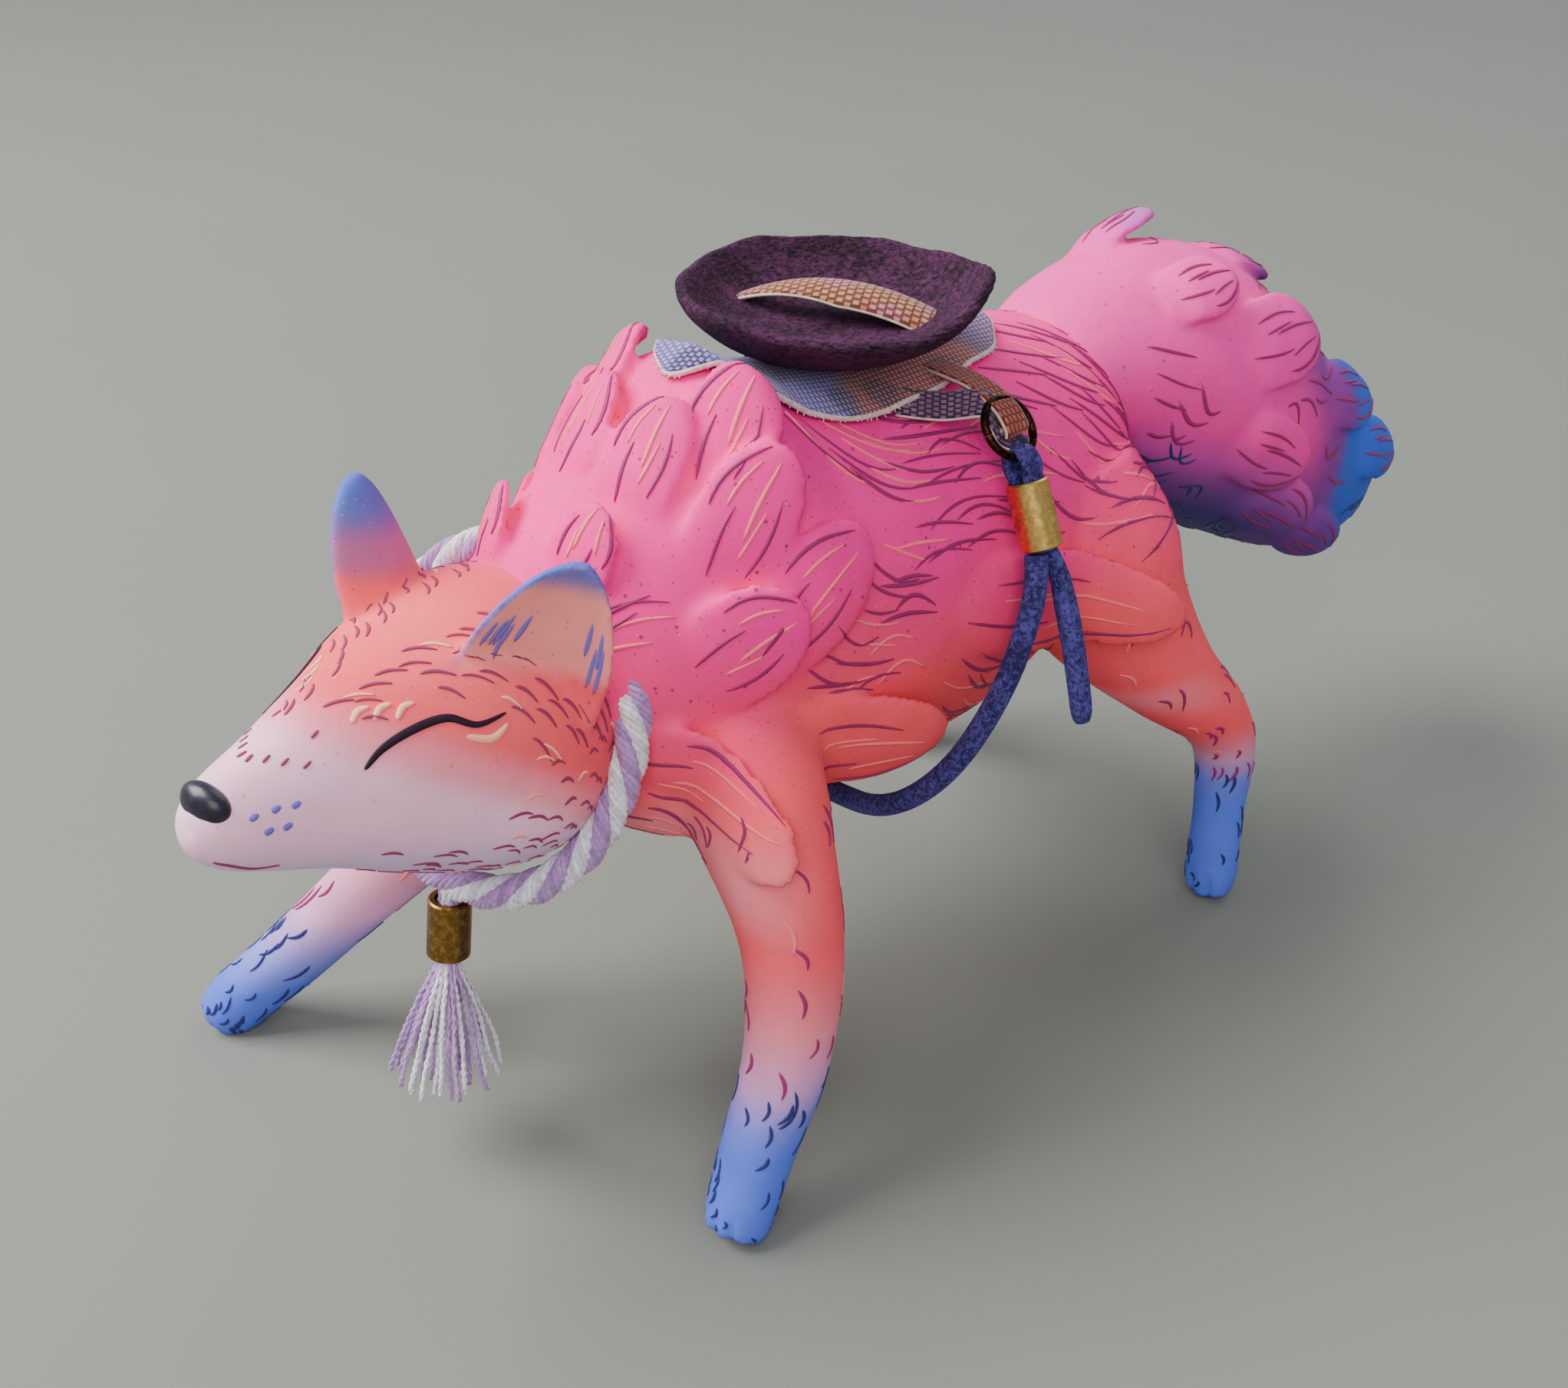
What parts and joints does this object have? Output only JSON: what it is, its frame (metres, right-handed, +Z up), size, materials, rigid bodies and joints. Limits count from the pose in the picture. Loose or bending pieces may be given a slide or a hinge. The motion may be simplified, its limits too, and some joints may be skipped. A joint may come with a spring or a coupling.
{
  "type": "clay fox figure",
  "caption": "Standing clay fox with leaf-shaped fur tufts, a rope collar with a tassel, and a felt dish strapped to its back on a woven cloth.",
  "frame": {"origin": "on the ground, at the middle of the figure's bounding box", "axes": "+X towards the nose, +Y to the fox's left, +Z up"},
  "size_m": [0.191, 0.0794, 0.0919],
  "materials": {
    "clay_coat": "baked polymer clay, airbrushed pink to coral with plum strokes",
    "clay_tail": "baked polymer clay, airbrushed pink to violet and blue",
    "clay_face": "baked polymer clay, airbrushed coral to pale lilac",
    "clay_leg": "baked polymer clay, airbrushed coral to cornflower blue",
    "nose_gloss": "black satin paint",
    "armature_wire": "bare soft wire",
    "foil": "crumpled kitchen foil",
    "rope": "twisted cotton, cream and lilac",
    "brass": "brushed, lightly aged",
    "woven_cloth": "coarse weave, periwinkle, indigo and rust",
    "felt": "dark plum felt",
    "woven_strap": "coarse weave, rust and indigo",
    "suede": "periwinkle and navy faux suede",
    "dark_bronze": "dark antique bronze plate"
  },
  "bodies": {
    "figure": {"belly_tuft_back": "clay_coat", "belly_tuft_front": "clay_coat", "collar_cord": "rope", "dish_strap": "woven_strap", "ear_left": "clay_face", "ear_right": "clay_face", "elbow_tuft_left": "clay_coat", "elbow_tuft_right": "clay_coat", "foil_core_body": "foil", "foil_core_head": "foil", "front_leg_left": "clay_leg", "front_leg_right": "clay_leg", "front_leg_wire": "armature_wire", "girth_bead_left": "brass", "girth_bead_right": "brass", "girth_lace": "suede", "hanger_left": "woven_strap", "hanger_right": "woven_strap", "head": "clay_face", "hind_leg_left": "clay_leg", "hind_leg_right": "clay_leg", "hind_leg_wire": "armature_wire", "hip_tuft_left": "clay_coat", "hip_tuft_right": "clay_coat", "lace_loop_left": "suede", "lace_loop_right": "suede", "mane_tuft_crest_left": "clay_coat", "mane_tuft_crest_right": "clay_coat", "mane_tuft_lower_left": "clay_coat", "mane_tuft_lower_right": "clay_coat", "mane_tuft_upper_left": "clay_coat", "mane_tuft_upper_right": "clay_coat", "nape_tuft_left": "clay_coat", "nape_tuft_right": "clay_coat", "neck_tuft_lower_left": "clay_coat", "neck_tuft_lower_right": "clay_coat", "neck_tuft_middle_left": "clay_coat", "neck_tuft_middle_right": "clay_coat", "neck_tuft_upper_left": "clay_coat", "neck_tuft_upper_right": "clay_coat", "nose": "nose_gloss", "saddle_cloth": "woven_cloth", "saddle_dish": "felt", "shoulder_tuft_left": "clay_coat", "shoulder_tuft_right": "clay_coat", "spine_wire": "armature_wire", "tail": "clay_tail", "tail_tip_tuft_lower": "clay_tail", "tail_tip_tuft_outer": "clay_tail", "tail_tuft_big": "clay_tail", "tail_tuft_left": "clay_tail", "tail_tuft_low": "clay_tail", "tail_tuft_side": "clay_tail", "tail_tuft_top": "clay_tail", "torso": "clay_coat"},
    "tassel": {"tassel": "rope"},
    "collar_bead": {"collar_bead": "brass"},
    "jump_ring_left": {"jump_ring_left": "dark_bronze"},
    "jump_ring_right": {"jump_ring_right": "dark_bronze"},
    "lace_end": {"lace_end": "suede"}
  },
  "joints": [
    {"name": "tassel_swing", "type": "hinge", "parent": "figure", "child": "tassel", "pos_m": [0.06255, 0.00032, 0.03531], "axis": [-0.1956, 0.9755, -0.1005], "range_deg": [-30, 25]},
    {"name": "collar_bead_slide", "type": "slide", "parent": "tassel", "child": "collar_bead", "axis": [0.1392, 0, -0.9903], "range_m": [0, 0.0024]},
    {"name": "lace_end_swing", "type": "hinge", "parent": "figure", "child": "lace_end", "pos_m": [-0.00201, 0.02978, 0.06365], "axis": [1, 0, 0], "range_deg": [-8, 50]},
    {"name": "jump_ring_left_turn", "type": "hinge", "parent": "figure", "child": "jump_ring_left", "pos_m": [-0.00201, 0.02345, 0.0774], "axis": [0, 0.7861, 0.6181], "continuous": true},
    {"name": "jump_ring_right_turn", "type": "hinge", "parent": "figure", "child": "jump_ring_right", "pos_m": [-0.00201, -0.01535, 0.0774], "axis": [0, -0.7861, 0.6181], "continuous": true}
  ]
}
